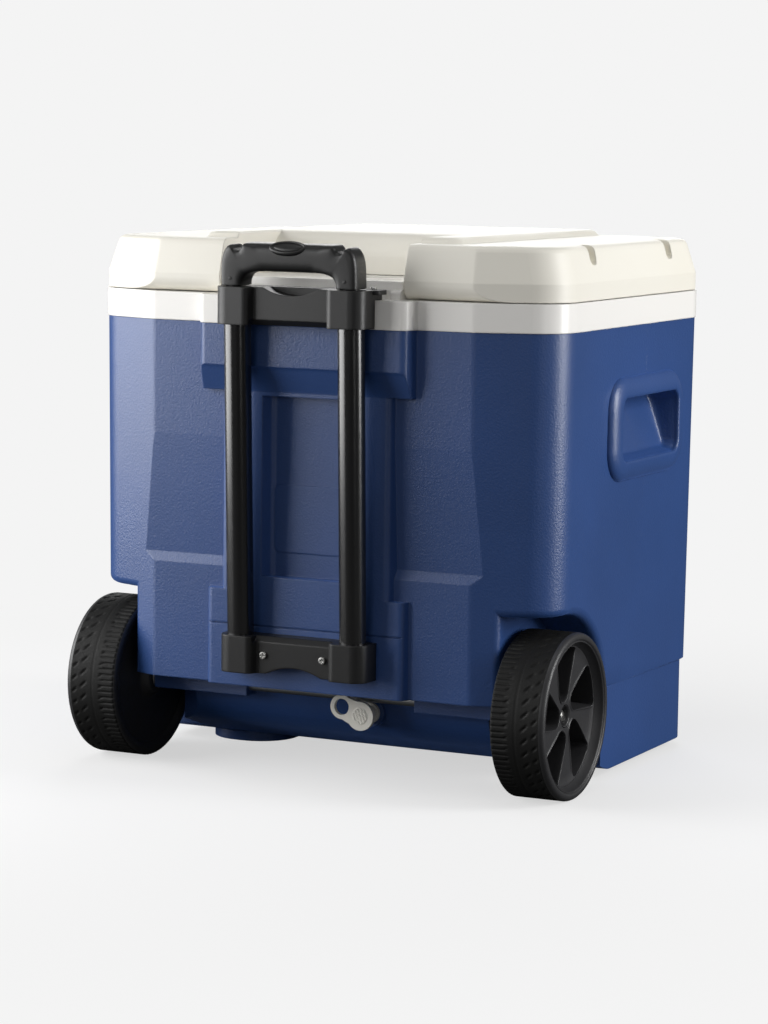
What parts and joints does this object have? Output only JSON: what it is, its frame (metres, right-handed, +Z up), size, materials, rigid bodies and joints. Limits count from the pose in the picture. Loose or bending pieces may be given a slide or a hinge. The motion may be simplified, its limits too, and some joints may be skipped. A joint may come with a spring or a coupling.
{
  "type": "wheeled cooler",
  "caption": "Insulated hard-sided cooler on two wheels, with a hinged lid, a two-stage telescopic pull handle, side hand pockets and a rear drain.",
  "frame": {"origin": "on the floor under the centre of the bounding box", "axes": "+Z up, +X along the axle to the right seen from behind, -Y towards the person pulling the handle"},
  "size_m": [0.4874, 0.4486, 0.501],
  "materials": {
    "blue_shell": "fine leather grain",
    "white_liner": "glossy",
    "white_lid": "fine matte",
    "foam": "closed-cell foam",
    "black_plastic": "satin",
    "black_tube": "satin powder coat",
    "bright_steel": "bright",
    "axle_steel": "drawn",
    "drain_plastic": "off-white",
    "gasket": "matte",
    "wheel_plastic": "satin"
  },
  "bodies": {
    "tub": {"outer_shell": "blue_shell", "inner_liner": "white_liner", "foam_core": "foam", "handle_top_bracket": "black_plastic", "handle_bottom_bracket": "black_plastic", "bracket_screws_top": "bright_steel", "bracket_screws_bottom": "bright_steel", "outer_tube_right": "black_tube", "outer_tube_left": "black_tube", "axle": "axle_steel", "axle_washers": "axle_steel", "axle_retainers": "axle_steel", "hinge_pins": "axle_steel", "drain_spout": "drain_plastic", "drain_nut": "drain_plastic", "drain_gasket": "gasket"},
    "lid": {"lid_shell": "white_lid", "lid_pan": "white_liner", "lid_foam": "foam"},
    "middle_stage": {"middle_tube_right": "black_tube", "middle_tube_left": "black_tube", "middle_bushes": "black_plastic", "inner_guides": "black_plastic"},
    "handle": {"grip_shell": "black_plastic", "grip_cover": "black_plastic", "inner_tube_right": "black_tube", "inner_tube_left": "black_tube", "grip_rivets": "bright_steel", "lock_bushes": "black_plastic", "release_spring": "bright_steel"},
    "button": {"release_button": "black_plastic"},
    "release_link": {"release_bar": "black_plastic", "release_rods": "bright_steel"},
    "lock_pin_right": {"lock_pin_right": "bright_steel"},
    "lock_pin_left": {"lock_pin_left": "bright_steel"},
    "drain_cap": {"drain_cap": "drain_plastic"},
    "wheel_right": {"wheel_right": "wheel_plastic"},
    "wheel_left": {"wheel_left": "wheel_plastic"}
  },
  "joints": [
    {"name": "lid_hinge", "type": "hinge", "parent": "tub", "child": "lid", "pos_m": [0, -0.16471, 0.4588], "axis": [1, 0, 0], "range_deg": [0, 86]},
    {"name": "handle_stage_one", "type": "slide", "parent": "tub", "child": "middle_stage", "axis": [0, -0.0384, 0.9993], "range_m": [0, 0.24]},
    {"name": "handle_stage_two", "type": "slide", "parent": "middle_stage", "child": "handle", "axis": [0, -0.0384, 0.9993], "range_m": [0, 0.235]},
    {"name": "wheel_spin_right", "type": "hinge", "parent": "tub", "child": "wheel_right", "pos_m": [0.216, -0.12071, 0.076], "axis": [1, 0, 0], "continuous": true},
    {"name": "wheel_spin_left", "type": "hinge", "parent": "tub", "child": "wheel_left", "pos_m": [-0.216, -0.12071, 0.076], "axis": [1, 0, 0], "continuous": true},
    {"name": "button_press", "type": "slide", "parent": "handle", "child": "button", "axis": [0, 0.7337, -0.6795], "range_m": [0, 0.003], "stiffness_N_per_m": 800, "springref_m": -0.002},
    {"name": "release_travel", "type": "slide", "parent": "handle", "child": "release_link", "axis": [0, 0.0384, -0.9993], "range_m": [0, 0.00213], "deforming": ["release_spring"]},
    {"name": "lock_travel_right", "type": "slide", "parent": "handle", "child": "lock_pin_right", "axis": [-1, 0, 0], "range_m": [0, 0.00251]},
    {"name": "lock_travel_left", "type": "slide", "parent": "handle", "child": "lock_pin_left", "axis": [1, 0, 0], "range_m": [0, 0.00251]},
    {"name": "drain_cap_pull", "type": "slide", "parent": "tub", "child": "drain_cap", "axis": [0, -1, 0], "range_m": [0, 0.03]}
  ],
  "couplings": [
    {"joint": "release_travel", "follows": "button_press", "ratio": 0.7071},
    {"joint": "lock_travel_right", "follows": "button_press", "ratio": 0.8333},
    {"joint": "lock_travel_left", "follows": "button_press", "ratio": 0.8333}
  ]
}
